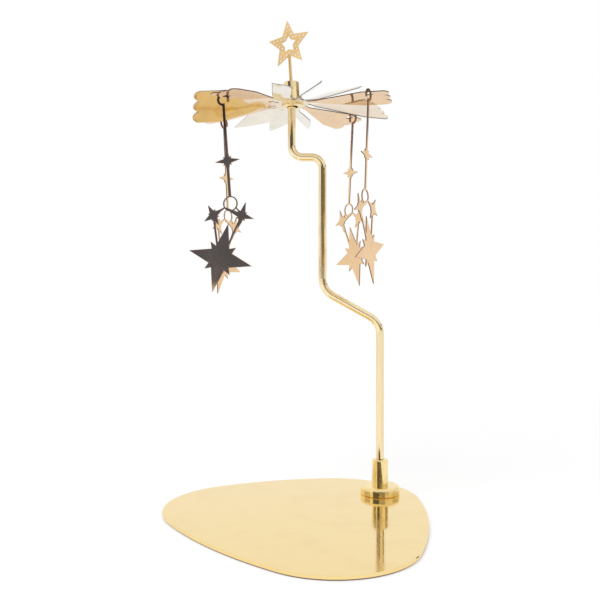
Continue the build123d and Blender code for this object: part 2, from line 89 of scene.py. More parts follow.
class CarouselFinish(bpy.types.PropertyGroup):
    """Colours, polish and fine sizes of the brass and steel."""

    plate_colour: colour("Plate", "Polished plate", (0.905, 0.70, 0.33))
    plate_haze: colour("Plate haze", "Handled patches on the plate", (0.885, 0.675, 0.315))
    # Painted shadow: a dark line along the foot of the plate's edge, standing in for the contact
    # shadow there.
    plate_foot_shadow: colour("Plate foot", "Tarnished line along the foot of the plate's edge",
                       (0.34, 0.19, 0.12))
    foot_shadow_fade: length("Foot line", "Height where the plate's tarnished line starts to fade", 0.45)
    foot_shadow_clear: length("Foot clear", "Height where the plate's edge is bright again", 0.65)
    rod_colour: colour("Rod", "Drawn rod", (0.93, 0.77, 0.48))
    collar_colour: colour("Collar", "Turned foot collar", (0.96, 0.76, 0.37))
    hub_colour: colour("Hub", "Turned hub and clamp ring", (0.92, 0.74, 0.42))
    # Painted reflection: one brass in two tones, the pointed blades pale and the wings tan, standing
    # in for the different reflections they show.
    blade_brass_and_reflection: colour("Blades", "Rolled sheet of the pointed blades", (0.83, 0.78, 0.69))
    wing_brass_and_reflection: colour("Wings", "Rolled sheet of the wings", (0.83, 0.59, 0.36))
    pendant_colour: colour("Pendants", "Etched sheet of the pendants", (0.85, 0.59, 0.345))
    finial_colour: colour("Finial", "Gilt star and its wire", (0.89, 0.60, 0.27))
    # Painted shade: the pendants' hooks and bars darken above a height, standing in for the dark
    # reflections there.
    pendant_dark_shade: colour("Browned hooks", "Heat-browned hooks and bars of the pendants",
                           (0.33, 0.17, 0.10))
    dark_shade_from: length("Browned from", "Height where the pendants start to brown", 170.0)
    dark_shade_full: length("Browned full", "Height where the browning is full", 181.0)
    # Painted highlight on the star's cut edges, which are paler than its faces.
    finial_edge_highlight: colour("Finial edge", "Filed edges of the star on top", (0.95, 0.83, 0.60))
    # Painted shade on the cut edges of the blades, wings and pendants: dark, for the dark reflections
    # of their thin edges.
    dark_edge_shade: colour("Cut edge", "Etched edges of the wings and pendants", (0.20, 0.125, 0.085))
    grey_edge_shade: colour("Pale edge", "Etched edges of the pointed blades", (0.36, 0.34, 0.33))
    steel_colour: colour("Steel", "Needle, cup and screw", (0.56, 0.57, 0.58))
    polish: bpy.props.FloatProperty(
        name="Polish", description="Lowest roughness of the polished brass", subtype="FACTOR",
        min=0, max=1, default=0.05)
    finial_softness: length("Finial softness", "Width of the softened edges of the star on top", 0.08)
    pendant_softness: length("Pendant softness", "Width of the pendants' softened edges", 0.07)


class CarouselRotor(bpy.types.PropertyGroup):
    """Sizes of the rotor's sheet: a disc with twisted necks, pointed blades and scalloped wings."""

    sheet: length("Sheet", "Thickness of the sheet", 0.5)
    root_sheet: length("Root", "Thickness of a neck inside the disc", 0.4)
    drop: length("Drop", "From the needle's point down to the sheet", 5.8)
    disc: length("Disc", "Radius of the flat disc", 8.5)
    hole: length("Hole", "Radius of the hole for the hub's spigot", 3.5)
    tilt: angle("Tilt", "How far the rotor leans on the needle's point", 3.5)
    turn: angle("Turn", "Bearing of the first fan wing", 17.8)
    droop: angle("Droop", "How far the blades bend down at their necks", 4.0)
    neck_start: length("Neck start", "Where a neck leaves the disc", 7.5)
    neck_end: length("Neck end", "Where a neck widens into its blade", 12.0)
    neck_width: length("Neck width", "Width of a neck", 3.2)
    camber: length("Camber", "Rise of a blade's middle over its edges", 0.3)
    softness: length("Edge", "Width of the softened edges", 0.08)
    wing_width: length("Wing width", "Width of a wing", 18.0)
    wing_spread: angle("Wing spread", "Between the two hanging wings of a pair", 64.0)
    wing_lobes: bpy.props.IntProperty(
        name="Lobes", description="Lobes of a wing's end", min=1, default=3)
    hanging_radius: length("Hanging wing", "Reach of a wing that carries a pendant", 49.0)
    hanging_pitch: angle("Hanging pitch", "Twist of a wing that carries a pendant", -5.0)
    fan_radius: length("Fan wing", "Reach of a wing that carries nothing", 50.0)
    fan_pitch: angle("Fan pitch", "Twist of a wing that carries nothing", 38.0)
    hook_reach: length("Hook hole", "From the axis to the hook's hole", 39.6)
    hook_hole: length("Hook hole width", "Width of the hook's hole", 3.8)
    hook_web: length("Hook web", "Strip between the hole and the wing's edge", 0.8)
    pointed_row: bpy.props.IntProperty(
        name="Pointed row", description="Pointed blades in a row between the wings", min=1, default=3)
    pointed_radius: length("Pointed blade", "Reach of a pointed blade", 44.0)
    pointed_shoulder: length("Shoulder", "Where a pointed blade is widest", 22.0)
    pointed_width: length("Pointed width", "Width of a pointed blade", 11.0)
    pointed_bulge: length("Bulge", "Curve of a pointed blade's edges", 0.3)
    pointed_pitch: angle("Pointed pitch", "Twist of a pointed blade", 28.0)


class CarouselStage(bpy.types.PropertyGroup):
    """Camera, floor, light and the unlit parts of the room."""

    camera_place: point("Camera", "Where the camera stands", (0.00415, -0.350, 0.09845))
    lens: bpy.props.FloatProperty(
        name="Lens", description="Focal length in millimetres", subtype="DISTANCE_CAMERA",
        min=10, default=42.0)
    floor_colour: colour("Floor", "Pale table top", (0.96, 0.96, 0.96))
    floor_radius: length("Floor radius", "Radius of the table top", 4000)
    floor_drop: length("Floor drop", "From the plate's underside down to the table top", 0.05)
    room_level: bpy.props.FloatProperty(
        name="Room light", description="Soft light from all round", min=0, default=0.86)
    key_power: bpy.props.FloatProperty(
        name="Key lamp", description="Power of the large lamp above", subtype="POWER", unit="POWER",
        min=0, default=6.0)
    key_size: length("Lamp size", "Width of the key lamp", 900)
    key_place: point("Lamp place", "Where the key lamp hangs", (-0.5, -0.5, 1.1))
    key_target: point("Lamp target", "What the key lamp is aimed at", (0, 0, 0.08))
    door_colour: colour("Doorway", "Unlit doorway that the front pendant reflects",
                        (0.107, 0.132, 0.22))
    beam_colour: colour("Beam", "Unlit beam that the hub and the collar reflect", (0.10, 0.09, 0.07))
    curtain_colour: colour("Curtain", "Brown curtain that the rod reflects", (0.21, 0.165, 0.09))


# Materials

# Cells to a metre along x, y and z, for the patterns that follow a direction.
WIPING = (2600, 90, 400)
DRAWING = (1400, 1400, 30)
GRINDING = (1600, 1600, 220)
BLADE_ROLLING = (60, 1800, 1800)
UPRIGHT_ROLLING = (900, 900, 50)

# Height of the relief on each finish.
PLATE_WAVES = 0.12 * MM
ROD_WAVES = 0.04 * MM
BLADE_WAVES = 0.12 * MM
FINIAL_WAVES = 0.06 * MM
PENDANT_WAVES = 0.05 * MM
TURNED_RINGS = 0.006 * MM
EDGE_PITS = 0.01 * MM
GROUND_GRAIN = 0.008 * MM

# Colour sockets of a mix node: its two inputs and its output.
MIX_FIRST, MIX_SECOND, MIX_RESULT = 6, 7, 2


def new_material(name):
    """A metal with its surface shader, ready for links."""
    material = bpy.data.materials.new(name)
    material.use_nodes = True
    tree = material.node_tree
    shader = tree.nodes["Principled BSDF"]
    shader.inputs["Metallic"].default_value = 1.0
    return material, tree, shader


def add(tree, kind, inputs=None, **settings):
    """Adds a node with its settings and input values."""
    node = tree.nodes.new(kind)
    for name, value in settings.items():
        setattr(node, name, value)
    for name, value in (inputs or {}).items():
        if isinstance(value, bpy.types.NodeSocket):
            tree.links.new(value, node.inputs[name])
        else:
            node.inputs[name].default_value = value
    return node


def maths(tree, operation, first, second):
    """One sum of two values or sockets."""
    return add(tree, "ShaderNodeMath", {0: first, 1: second}, operation=operation).outputs["Value"]


def place(tree, scale=(1, 1, 1), location=(0, 0, 0)):
    """Object coordinates, moved and stretched for a pattern."""
    coord = add(tree, "ShaderNodeTexCoord")
    mapping = add(tree, "ShaderNodeMapping",
                  {"Vector": coord.outputs["Object"], "Scale": scale, "Location": location})
    return mapping.outputs["Vector"]


def noise(tree, vector, scale, detail=2.0, roughness=0.5):
    """Smooth random pattern."""
    node = add(tree, "ShaderNodeTexNoise",
               {"Vector": vector, "Scale": scale, "Detail": detail, "Roughness": roughness})
    return node.outputs["Fac"]


def spread(tree, value, low, high, start=0.35, end=0.65):
    """Stretches a pattern's middle range to run from low to high."""
    node = add(tree, "ShaderNodeMapRange",
               {"Value": value, "From Min": start, "From Max": end, "To Min": low, "To Max": high},
               interpolation_type="SMOOTHSTEP")
    return node.outputs["Result"]


def tone(tree, factor, first, second):
    """Two colours mixed by a pattern."""
    node = add(tree, "ShaderNodeMix", {0: factor}, data_type="RGBA")
    for socket, shade in ((MIX_FIRST, first), (MIX_SECOND, second)):
        if isinstance(shade, bpy.types.NodeSocket):
            tree.links.new(shade, node.inputs[socket])
        else:
            node.inputs[socket].default_value = (*shade, 1)
    return node.outputs[MIX_RESULT]


def bump(tree, pattern, height):
    """Small relief from a pattern."""
    node = add(tree, "ShaderNodeBump", {"Height": pattern, "Distance": height, "Strength": 1.0})
    return node.outputs["Normal"]


def scaled(shade, share):
    """A colour at a share of its strength."""
    return tuple(channel * share for channel in shade)


def polished_plate(finish):
    """Plate: mirror polish with handled patches, fine wiping marks and a painted shadow along the foot
    of its edge.
    """
    material, tree, shader = new_material("plate_brass_polished")
    patches = noise(tree, place(tree), scale=55, detail=4, roughness=0.6)
    handled = spread(tree, patches, 0, 1, start=0.45, end=0.7)
    face = tone(tree, handled, finish.plate_colour, finish.plate_haze)
    # Painted shadow: the plate's edge darkens towards its foot, standing in for the contact shadow.
    above_foot_shadow = height_share(finish.foot_shadow_fade, finish.foot_shadow_clear)
    tree.links.new(tone(tree, above_foot_shadow(tree), finish.plate_foot_shadow, face), shader.inputs["Base Color"])
    wiping = noise(tree, place(tree, WIPING), scale=1)
    haze = spread(tree, patches, 0.0, 0.06, start=0.45, end=0.7)
    wiped = spread(tree, wiping, finish.polish, finish.polish + 0.05)
    tree.links.new(maths(tree, "ADD", haze, wiped), shader.inputs["Roughness"])
    waves = noise(tree, place(tree), scale=28, detail=1)
    tree.links.new(bump(tree, waves, PLATE_WAVES), shader.inputs["Normal"])
    return material


def drawn_wire(finish, name, shade):
    """Rod or wire: drawn brass, polished, with faint lines along it."""
    material, tree, shader = new_material(name)
    lines = noise(tree, place(tree, DRAWING), scale=1, detail=3)
    tree.links.new(tone(tree, spread(tree, lines, 0, 1), shade, scaled(shade, 0.9)),
                   shader.inputs["Base Color"])
    tree.links.new(spread(tree, lines, finish.polish + 0.02, finish.polish + 0.09),
                   shader.inputs["Roughness"])
    waves = noise(tree, place(tree), scale=120, detail=1)
    tree.links.new(bump(tree, waves, ROD_WAVES), shader.inputs["Normal"])
    return material


def turned_brass(finish, name, shade, axis):
    """Lathe-turned brass: fine rings round an axis."""
    material, tree, shader = new_material(name)
    centred = place(tree, location=(-axis[0], -axis[1], 0))
    parts = add(tree, "ShaderNodeSeparateXYZ", {"Vector": centred})
    flat = add(tree, "ShaderNodeCombineXYZ",
               {"X": parts.outputs["X"], "Y": parts.outputs["Y"]})
    radius = add(tree, "ShaderNodeVectorMath", {0: flat.outputs["Vector"]}, operation="LENGTH")
    along = add(tree, "ShaderNodeCombineXYZ",
                {"X": radius.outputs["Value"], "Z": parts.outputs["Z"]})
    rings = noise(tree, along.outputs["Vector"], scale=2600)
    clouds = noise(tree, place(tree), scale=140, detail=3)
    tree.links.new(tone(tree, spread(tree, clouds, 0, 1), shade, scaled(shade, 0.88)),
                   shader.inputs["Base Color"])
    tree.links.new(spread(tree, rings, finish.polish + 0.01, finish.polish + 0.1),
                   shader.inputs["Roughness"])
    tree.links.new(bump(tree, rings, TURNED_RINGS), shader.inputs["Normal"])
    return material


def dimmed(tree, shade, share):
    """A colour socket at a share of its strength, which is a socket too."""
    node = add(tree, "ShaderNodeHueSaturation", {"Value": share, "Color": shade})
    return node.outputs["Color"]


def rolled_sheet(finish, name, first, second, share, rolling, height):
    """Thin rolled sheet between two tones, slightly wavy, with soft clouds and rolling lines.

    share(tree) gives the socket that runs from the first tone to the second. rolling is the stretch
    of the rolling lines, and height the waves' height.
    """
    material, tree, shader = new_material(name)
    rolled = noise(tree, place(tree, rolling), scale=1)
    clouds = noise(tree, place(tree), scale=90, detail=3, roughness=0.6)
    base = tone(tree, share(tree), first, second)
    tree.links.new(dimmed(tree, base, spread(tree, clouds, 0.93, 1.0)), shader.inputs["Base Color"])
    lines = spread(tree, rolled, 0.0, 0.015)
    mist = spread(tree, clouds, finish.polish - 0.02, finish.polish + 0.02)
    tree.links.new(maths(tree, "ADD", lines, mist), shader.inputs["Roughness"])
    waves = noise(tree, place(tree), scale=65, detail=1)
    tree.links.new(bump(tree, waves, height), shader.inputs["Normal"])
    return material


def painted_tone_socket(tree):
    """Socket with the share of the wings' tone on a blade; the two tones are a painted reflection."""
    return add(tree, "ShaderNodeAttribute", attribute_name="painted_tone_share").outputs["Fac"]


def height_share(low, high):
    """Share that rises between two heights."""
    def share(tree):
        parts = add(tree, "ShaderNodeSeparateXYZ", {"Vector": place(tree)})
        return spread(tree, parts.outputs["Z"], 0, 1, start=low, end=high)
    return share


def cloud_share(tree):
    """Share that drifts across a surface."""
    return spread(tree, noise(tree, place(tree), scale=160), 0, 1)


def cut_edge(name, first, second, share):
    """Cut edge of a sheet piece between two tones that paint its shade or its highlight: dull and
    slightly pitted.
    """
    material, tree, shader = new_material(name)
    pits = noise(tree, place(tree), scale=2400, detail=3)
    base = tone(tree, share(tree), first, second)
    tree.links.new(dimmed(tree, base, spread(tree, pits, 1.0, 0.75)), shader.inputs["Base Color"])
    tree.links.new(spread(tree, pits, 0.35, 0.55), shader.inputs["Roughness"])
    tree.links.new(bump(tree, pits, EDGE_PITS), shader.inputs["Normal"])
    return material


def ground_steel(finish):
    """Needle, cup and screw: ground steel, made once and shared."""
    name = "steel_ground"
    if name in bpy.data.materials:
        return bpy.data.materials[name]
    material, tree, shader = new_material(name)
    grain = noise(tree, place(tree, GRINDING), scale=1, detail=3)
    tree.links.new(tone(tree, spread(tree, grain, 0, 1), finish.steel_colour,
                        scaled(finish.steel_colour, 0.82)), shader.inputs["Base Color"])
    tree.links.new(spread(tree, grain, 0.2, 0.36), shader.inputs["Roughness"])
    tree.links.new(bump(tree, grain, GROUND_GRAIN), shader.inputs["Normal"])
    return material


def dress(names, material):
    """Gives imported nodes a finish."""
    for name in names:
        node = frame["nodes"][name]
        node.data.materials.clear()
        node.data.materials.append(material)


# Meshes

# A face belongs to a cut edge where its normal has less than this along the broad side's normal.
EDGE_LIMIT = 0.8

# Points closer than this are one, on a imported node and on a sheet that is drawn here.
NODE_MERGE, SHEET_MERGE = 0.002 * MM, 0.001 * MM

# Faces within FLAT_ANGLE join into one, corners over SHARP_ANGLE stay sharp in the shading, and
# corners over BEVEL_ANGLE are softened in BEVEL_STEPS.
FLAT_ANGLE, SHARP_ANGLE, BEVEL_ANGLE = radians(0.5), radians(24), radians(50)
BEVEL_STEPS = 2


def helper(name, mesh):
    """Puts a mesh in the scene as an object at the origin."""
    obj = bpy.data.objects.new(name, mesh)
    bpy.context.scene.collection.objects.link(obj)
    return obj


def settled(obj):
    """Plain mesh of an object with its modifiers applied; the object goes."""
    graph = bpy.context.evaluated_depsgraph_get()
    mesh = bpy.data.meshes.new_from_object(obj.evaluated_get(graph))
    bpy.data.objects.remove(obj)
    return mesh


def shade_rounded(mesh):
    """Shades a mesh smooth, with its corners kept sharp."""
    mesh.shade_smooth()
    mesh.set_sharp_from_angle(angle=SHARP_ANGLE)


def broad_side(shape):
    """Normal of the direction in which a flat piece shows the most area."""
    areas = {}
    for side in shape.faces:
        facing = tuple(round(part, 2) for part in side.normal)
        areas[facing] = areas.get(facing, 0) + side.calc_area()
    return Vector(max(areas, key=areas.get)).normalized()


def softened(node_name, piece_name, width, face, edge):
    """Copy of a packed flat piece with its sharp edges taken off, in a face and an edge finish."""
    shape = bmesh.new()
    shape.from_mesh(frame["nodes"][node_name].data)
    bmesh.ops.remove_doubles(shape, verts=shape.verts, dist=NODE_MERGE)
    bmesh.ops.dissolve_limit(shape, angle_limit=FLAT_ANGLE, verts=shape.verts, edges=shape.edges)
    across = broad_side(shape)
    rims = [line for line in shape.edges
            if sum(abs(side.normal.dot(across)) > EDGE_LIMIT for side in line.link_faces) == 1]
    bmesh.ops.bevel(shape, geom=rims, offset=width, segments=BEVEL_STEPS, profile=0.5, affect="EDGES",
                    clamp_overlap=False)
    bmesh.ops.recalc_face_normals(shape, faces=shape.faces)
    bmesh.ops.triangulate(shape, faces=shape.faces)
    for side in shape.faces:
        side.material_index = 1 if abs(side.normal.dot(across)) < EDGE_LIMIT else 0
    mesh = bpy.data.meshes.new(piece_name)
    shape.to_mesh(mesh)
    shape.free()
    mesh.shade_flat()
    mesh.materials.append(face)
    mesh.materials.append(edge)
    return helper(piece_name, mesh)


# Rotor sheet

# Share of the wings' tone on each kind of blade. The tones are a painted reflection: tan on the wings
# and pale on the pointed blades, for what each reflects.
POINTED_TONE, FAN_TONE, HANGING_TONE = 0.0, 0.4, 1.0

# Steps in which each stretch of the sheet is drawn.
NECK_STEPS = 8
ROOT_STEPS = 9
TIP_STEPS = 12
ACROSS_STEPS = 10
FLARE_STEPS = 14
END_STEPS = 8
LOBE_STEPS = 8
DISC_STEPS = 96
HOLE_STEPS = 32

# Half width at which a blade counts as run out to its tip.
TIP_HALF_WIDTH = 0.1 * MM


def eased(value, start, end):
    """Nought before start, one after end, eased between."""
    share = min(max((value - start) / (end - start), 0.0), 1.0)
    return share * share * (3 - 2 * share)


def neck_rows(rotor):
    """Stations along a neck as (reach, half width)."""
    run = rotor.neck_end - rotor.neck_start
    return [(rotor.neck_start + run * step / NECK_STEPS, rotor.neck_width / 2)
            for step in range(NECK_STEPS)]


def bowed(start, end, bulge, steps):
    """Points from start towards end on a shallow arc that bows to its left."""
    run = Vector(end) - Vector(start)
    side = Vector((-run.y, run.x)).normalized()
    for step in range(steps):
        share = step / steps
        yield tuple(Vector(start) + run * share + side * (4 * bulge * share * (1 - share)))


def pointed_rows(rotor):
    """Rows of a pointed blade: each is a list of (along, across) points."""
    root = (rotor.neck_end, rotor.neck_width / 2)
    shoulder = (rotor.pointed_shoulder, rotor.pointed_width / 2)
    tip = (rotor.pointed_radius, 0.0)
    stations = neck_rows(rotor)
    stations += bowed(root, shoulder, rotor.pointed_bulge, ROOT_STEPS)
    stations += bowed(shoulder, tip, rotor.pointed_bulge, TIP_STEPS)
    shares = [2 * step / ACROSS_STEPS - 1 for step in range(ACROSS_STEPS + 1)]
    rows = [[(along, half * share) for share in shares] for along, half in stations]
    return rows + [[tip] * len(shares)]


def wing_rows(rotor, reach):
    """Rows of a wing: it flares from its neck and ends in a row of lobes."""
    half = rotor.wing_width / 2
    lobe = half / rotor.wing_lobes
    flare_end = rotor.hook_reach - rotor.hook_hole
    ends = [(reach - lobe, -half)]
    for number in range(rotor.wing_lobes):
        middle = -half + lobe * (2 * number + 1)
        for step in range(1, LOBE_STEPS + 1):
            bearing = pi * (step / LOBE_STEPS - 0.5)
            ends.append((reach - lobe + lobe * cos(bearing), middle + lobe * sin(bearing)))
    run = flare_end - rotor.neck_end
    widening = half - rotor.neck_width / 2
    stations = neck_rows(rotor)
    stations += [(rotor.neck_end + run * step / FLARE_STEPS,
                  rotor.neck_width / 2 + widening * step / FLARE_STEPS) for step in range(FLARE_STEPS)]
    rows = [[(along, width * across / half) for _, across in ends] for along, width in stations]
    for step in range(END_STEPS + 1):
        share = step / END_STEPS
        rows.append([(flare_end + (along - flare_end) * share, across) for along, across in ends])
    return rows


def hook_cutter(rotor):
    """Round bar that cuts the hook's hole beside a wing's clockwise edge."""
    shape = bmesh.new()
    across = -rotor.wing_width / 2 + rotor.hook_web + rotor.hook_hole / 2
    bmesh.ops.create_cone(shape, cap_ends=True, segments=HOLE_STEPS, radius1=rotor.hook_hole / 2,
                          radius2=rotor.hook_hole / 2, depth=4 * rotor.sheet,
                          matrix=Matrix.Translation((rotor.hook_reach, across, 0)))
    mesh = bpy.data.meshes.new("hook_cutter")
    shape.to_mesh(mesh)
    shape.free()
    return helper("hook_cutter", mesh)


def flat_sheet(name, shape, rotor, cutter=None):
    """Gives a flat mesh the sheet's thickness, a hole if it has one, and soft edges."""
    mesh = bpy.data.meshes.new(name)
    bmesh.ops.remove_doubles(shape, verts=shape.verts, dist=SHEET_MERGE)
    bmesh.ops.recalc_face_normals(shape, faces=shape.faces)
    shape.to_mesh(mesh)
    shape.free()
    obj = helper(name, mesh)
    wall = obj.modifiers.new("wall", "SOLIDIFY")
    wall.thickness = rotor.sheet
    wall.offset = 0
    if cutter:
        hole = obj.modifiers.new("hole", "BOOLEAN")
        hole.operation = "DIFFERENCE"
        hole.object = cutter
    edge = obj.modifiers.new("edge", "BEVEL")
    edge.width = rotor.softness
    edge.segments = BEVEL_STEPS
    edge.limit_method = "ANGLE"
    edge.angle_limit = BEVEL_ANGLE
    return settled(obj)


def mark_edges(mesh):
    """Marks the faces of a flat sheet's cut edges."""
    marks = mesh.attributes.new("cut_edge", "BOOLEAN", "FACE")
    for side, mark in zip(mesh.polygons, marks.data):
        mark.value = abs(side.normal.z) < EDGE_LIMIT


def mark_tone(mesh, share):
    """Marks a blade with its share of the wings' painted reflection tone."""
    marks = mesh.attributes.new("painted_tone_share", "FLOAT", "POINT")
    marks.data.foreach_set("value", [share] * len(mesh.vertices))


def blade(name, rows, pitch, rotor, painted_tone_share, cutter=None):
    """One blade along +X, twisted and bent down at its neck, as an object."""
    shape = bmesh.new()
    lines = [[shape.verts.new((along, across, 0)) for along, across in row] for row in rows]
    for first, second in zip(lines, lines[1:]):
        for column in range(len(first) - 1):
            shape.faces.new((first[column], second[column], second[column + 1], first[column + 1]))
    mesh = flat_sheet(name, shape, rotor, cutter)
    mark_edges(mesh)
    mark_tone(mesh, painted_tone_share)
    half_widths = [(row[len(row) // 2][0], max(across for _, across in row)) for row in rows]
    start, end = rotor.neck_start, rotor.neck_end
    thin = rotor.root_sheet / rotor.sheet
    for vertex in mesh.vertices:
        along, across, up = vertex.co
        grown = min(max((along - start) / (end - start), 0.0), 1.0)
        up *= thin + (1 - thin) * grown
        half = next((width for reach, width in half_widths if reach >= along), half_widths[-1][1])
        share = min(abs(across) / max(half, TIP_HALF_WIDTH), 1.0)
        up += rotor.camber * (1 - share * share) * eased(along, end, rotor.pointed_shoulder)
        twist = pitch * grown
        across, up = across * cos(twist) - up * sin(twist), across * sin(twist) + up * cos(twist)
        run = along - start
        vertex.co = (start + run * cos(rotor.droop) + up * sin(rotor.droop), across,
                     up * cos(rotor.droop) - run * sin(rotor.droop))
    shade_rounded(mesh)
    return helper(name, mesh)


def disc(rotor):
    """Flat disc of the sheet with the hole for the spigot, as an object."""
    shape = bmesh.new()
    rims = []
    for radius in (rotor.disc, rotor.hole):
        circle = bmesh.ops.create_circle(shape, segments=DISC_STEPS, radius=radius)
        rims += list({line for vertex in circle["verts"] for line in vertex.link_edges})
    bmesh.ops.bridge_loops(shape, edges=rims)
    mesh = flat_sheet("rotor_disc", shape, rotor)
    mark_edges(mesh)
    mark_tone(mesh, FAN_TONE)
    shade_rounded(mesh)
    return helper("rotor_disc", mesh)


def ring_of(tree, blade_socket, per_side, first, step, turn):
    """Blades round the disc: per_side of them from a first bearing, and the same opposite."""
    points = add(tree, "GeometryNodePoints", {"Count": maths(tree, "MULTIPLY", per_side, 2.0)})
    index = add(tree, "GeometryNodeInputIndex").outputs["Index"]
    place_in_row = maths(tree, "MODULO", index, per_side)
    side = maths(tree, "FLOOR", maths(tree, "DIVIDE", index, per_side), 0.0)
    bearing = maths(tree, "ADD", turn, first)
    bearing = maths(tree, "ADD", bearing, maths(tree, "MULTIPLY", place_in_row, step))
    bearing = maths(tree, "ADD", bearing, maths(tree, "MULTIPLY", side, pi))
    spin = add(tree, "ShaderNodeCombineXYZ", {"Z": bearing})
    source = add(tree, "GeometryNodeObjectInfo", {"Object": blade_socket})
    ring = add(tree, "GeometryNodeInstanceOnPoints",
               {"Points": points.outputs["Points"], "Instance": source.outputs["Geometry"],
                "Rotation": spin.outputs["Vector"]})
    return ring.outputs["Instances"]


def moved(tree, geometry, **inputs):
    """Geometry moved or turned as a whole."""
    return add(tree, "GeometryNodeTransform", {"Geometry": geometry, **inputs}).outputs["Geometry"]


def rotor_tree(face, edge):
    """Node tree that sets the blades round the disc and leans the sheet on the needle's point."""
    tree = bpy.data.node_groups.new("rotor_sheet", "GeometryNodeTree")
    tree.interface.new_socket("Geometry", in_out="OUTPUT", socket_type="NodeSocketGeometry")
    kinds = {"Disc": "Object", "Pointed blade": "Object", "Hanging wing": "Object",
             "Fan wing": "Object", "Pointed row": "Int", "Turn": "Float", "Wing spread": "Float",
             "Tilt": "Float", "Drop": "Float", "Pivot height": "Float"}
    for name, kind in kinds.items():
        tree.interface.new_socket(name, in_out="INPUT", socket_type="NodeSocket" + kind)
    given = add(tree, "NodeGroupInput").outputs
    half_spread = maths(tree, "DIVIDE", given["Wing spread"], 2.0)
    gap = maths(tree, "SUBTRACT", pi, given["Wing spread"])
    step = maths(tree, "DIVIDE", gap, maths(tree, "ADD", given["Pointed row"], 1.0))
    middle = add(tree, "GeometryNodeObjectInfo", {"Object": given["Disc"]}).outputs["Geometry"]
    parts = [
        ring_of(tree, given["Pointed blade"], given["Pointed row"],
                maths(tree, "ADD", half_spread, step), step, given["Turn"]),
        ring_of(tree, given["Hanging wing"], 2.0, maths(tree, "MULTIPLY", half_spread, -1.0),
                given["Wing spread"], given["Turn"]),
        ring_of(tree, given["Fan wing"], 1.0, 0.0, 0.0, given["Turn"]),
        middle,
    ]
    joined = add(tree, "GeometryNodeJoinGeometry")
    for part in parts:
        tree.links.new(part, joined.inputs["Geometry"])
    lowered = add(tree, "ShaderNodeCombineXYZ", {"Z": maths(tree, "MULTIPLY", given["Drop"], -1.0)})
    leaning = add(tree, "ShaderNodeCombineXYZ", {"Y": maths(tree, "MULTIPLY", given["Tilt"], -1.0)})
    raised = add(tree, "ShaderNodeCombineXYZ", {"Z": given["Pivot height"]})
    sheet = moved(tree, joined.outputs["Geometry"], Translation=lowered.outputs["Vector"])
    sheet = moved(tree, sheet, Rotation=leaning.outputs["Vector"])
    sheet = moved(tree, sheet, Translation=raised.outputs["Vector"])
    whole = add(tree, "GeometryNodeRealizeInstances", {"Geometry": sheet})
    dressed = add(tree, "GeometryNodeSetMaterial",
                  {"Geometry": whole.outputs["Geometry"], "Material": face})
    marked = add(tree, "GeometryNodeInputNamedAttribute", {"Name": "cut_edge"}, data_type="BOOLEAN")
    edged = add(tree, "GeometryNodeSetMaterial",
                {"Geometry": dressed.outputs["Geometry"], "Selection": marked.outputs["Attribute"],
                 "Material": edge})
    output = add(tree, "NodeGroupOutput")
    tree.links.new(edged.outputs["Geometry"], output.inputs["Geometry"])
    return tree


def rotor_sheet(rotor, face, edge):
    """The rotor's sheet as one plain mesh."""
    cutter = hook_cutter(rotor)
    hanging = blade("hanging_wing", wing_rows(rotor, rotor.hanging_radius), rotor.hanging_pitch,
                    rotor, HANGING_TONE, cutter)
    bpy.data.objects.remove(cutter)
    parts = {
        "Disc": disc(rotor),
        "Pointed blade": blade("pointed_blade", pointed_rows(rotor), rotor.pointed_pitch, rotor,
                               POINTED_TONE),
        "Hanging wing": hanging,
        "Fan wing": blade("fan_wing", wing_rows(rotor, rotor.fan_radius), rotor.fan_pitch, rotor,
                          FAN_TONE),
    }
    values = {"Pointed row": rotor.pointed_row, "Turn": rotor.turn, "Wing spread": rotor.wing_spread,
              "Tilt": rotor.tilt, "Drop": rotor.drop, "Pivot height": PIVOT[2], **parts}
    base = helper("rotor_base", bpy.data.meshes.new("rotor_base"))
    modifier = base.modifiers.new("rotor_sheet", "NODES")
    modifier.node_group = rotor_tree(face, edge)
    for socket in modifier.node_group.interface.items_tree:
        if socket.in_out == "INPUT":
            modifier[socket.identifier] = values[socket.name]
    mesh = settled(base)
    for part in parts.values():
        bpy.data.objects.remove(part)
    mesh.name = "rotor_sheet"
    return helper("rotor_sheet", mesh)


# Pieces

class CAROUSEL_OT_plate(bpy.types.Operator):
    """Finish the plate and the screw under it"""

    bl_idname = "carousel.plate"
    bl_label = "Plate"

    def execute(self, context):
        finish = context.scene.carousel_finish
        dress(["base_plate"], polished_plate(finish))
        dress(["foot_screw"], ground_steel(finish))
        return {"FINISHED"}


class CAROUSEL_OT_foot(bpy.types.Operator):
    """Finish the turned collar that holds the rod"""

    bl_idname = "carousel.foot"
    bl_label = "Foot collar"

    def execute(self, context):
        finish = context.scene.carousel_finish
        dress(["foot_collar"],
              turned_brass(finish, "collar_brass_turned", finish.collar_colour, FOOT_AXIS))
        return {"FINISHED"}


class CAROUSEL_OT_rod(bpy.types.Operator):
    """Finish the bent rod and its needle"""

    bl_idname = "carousel.rod"
    bl_label = "Rod"

    def execute(self, context):
        finish = context.scene.carousel_finish
        dress(["stem"], drawn_wire(finish, "rod_brass_drawn", finish.rod_colour))
        dress(["pivot_needle"], ground_steel(finish))
        return {"FINISHED"}


class CAROUSEL_OT_hub(bpy.types.Operator):
    """Finish the hub, its clamp ring and its bearing cup"""

    bl_idname = "carousel.hub"
    bl_label = "Hub"

    def execute(self, context):
        finish = context.scene.carousel_finish
        dress(["rotor_hub", "rotor_clamp_ring"],
              turned_brass(finish, "hub_brass_turned", finish.hub_colour, PIVOT))
        dress(["bearing_cup"], ground_steel(finish))
        return {"FINISHED"}


